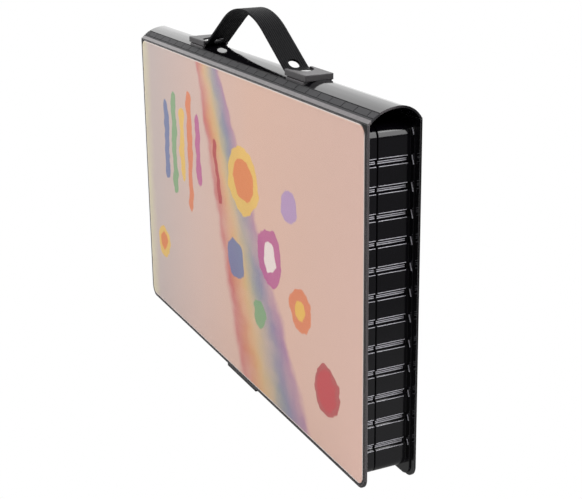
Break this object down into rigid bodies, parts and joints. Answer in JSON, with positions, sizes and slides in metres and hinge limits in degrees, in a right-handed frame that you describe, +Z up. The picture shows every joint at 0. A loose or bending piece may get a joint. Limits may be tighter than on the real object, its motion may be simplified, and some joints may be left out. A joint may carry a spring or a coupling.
{
  "type": "kids art set case",
  "caption": "Flat black art set case with a printed card front, fluted trays of pens, crayons and paints inside, a strap handle on its arched spine and a bottom clasp.",
  "frame": {"origin": "middle of the underside: centre of the bounding box, at its lowest level, the underside of the clasp", "axes": "+X along the case and its spine, +Y from the printed front to the back, +Z up to the handle"},
  "size_m": [0.4, 0.0376, 0.2874],
  "materials": {
    "cover_sheet": "glossy black sheet",
    "tray_sheet": "glossy black vacuum-formed sheet",
    "strap": "ribbed satin black",
    "handle_block": "satin black moulding",
    "steel": "plated steel",
    "card": "printed card",
    "film": "clear welded film",
    "clasp": "glossy black moulding",
    "pen_barrel": "white plastic",
    "pen_cap": "coloured caps, one colour each",
    "pen_plug": "coloured plugs, one colour each",
    "pen_nib": "felt",
    "pencil_shaft": "lacquered wood, one colour each",
    "pencil_lead": "wax lead, one colour each",
    "graphite": "graphite",
    "crayon": "wax, one colour each",
    "wrapper": "plain paper",
    "pastel": "oil pastel, one colour each",
    "palette": "white plastic",
    "cake": "dry paint, one colour each",
    "ruler": "clear yellow plastic",
    "brush_handle": "lacquered wood",
    "ferrule": "drawn aluminium",
    "hair": "brush hair",
    "glue_body": "white plastic",
    "glue_cap": "orange plastic",
    "eraser": "white vinyl",
    "sharpener": "blue plastic",
    "clip": "coloured plastic"
  },
  "bodies": {
    "back_half": {"back_cover": "cover_sheet", "back_tray": "tray_sheet", "clasp_mount": "clasp", "clasp_pin": "steel", "felt_pen_barrels": "pen_barrel", "felt_pen_caps": "pen_cap", "felt_pen_nibs": "pen_nib", "felt_pen_plugs": "pen_plug", "paint_palette": "palette", "paint_cakes": "cake", "glue_stick_body": "glue_body", "glue_stick_cap": "glue_cap", "eraser": "eraser", "eraser_sleeve": "wrapper", "sharpener_body": "sharpener", "sharpener_blade": "steel", "sharpener_screw": "steel", "paper_clips": "clip"},
    "front_half": {"front_cover": "cover_sheet", "front_tray": "tray_sheet", "print_card": "card", "pocket_film": "film", "clasp_catch": "clasp", "colour_pencils": "pencil_shaft", "colour_pencil_leads": "pencil_lead", "crayon_sticks": "crayon", "crayon_wrappers": "wrapper", "oil_pastel_sticks": "pastel", "oil_pastel_wrappers": "wrapper", "graphite_pencil": "pencil_shaft", "graphite_pencil_lead": "graphite", "ruler": "ruler", "brush_handle": "brush_handle", "brush_ferrule": "ferrule", "brush_hair": "hair"},
    "spine": {"spine": "cover_sheet", "handle_strap": "strap", "handle_block_left": "handle_block", "handle_block_right": "handle_block", "handle_backing_plates": "steel", "handle_screws": "steel"},
    "clasp": {"clasp_flap": "clasp"}
  },
  "joints": [
    {"name": "back_crease", "type": "hinge", "parent": "back_half", "child": "spine", "pos_m": [0, 0.0188, 0.242], "axis": [-1, 0, 0], "range_deg": [0, 90]},
    {"name": "front_crease", "type": "hinge", "parent": "spine", "child": "front_half", "pos_m": [0, -0.0183, 0.242], "axis": [-1, 0, 0], "range_deg": [0, 90]},
    {"name": "clasp_swing", "type": "hinge", "parent": "back_half", "child": "clasp", "pos_m": [0, 0.013, 0.003], "axis": [1, 0, 0], "range_deg": [0, 110]}
  ]
}
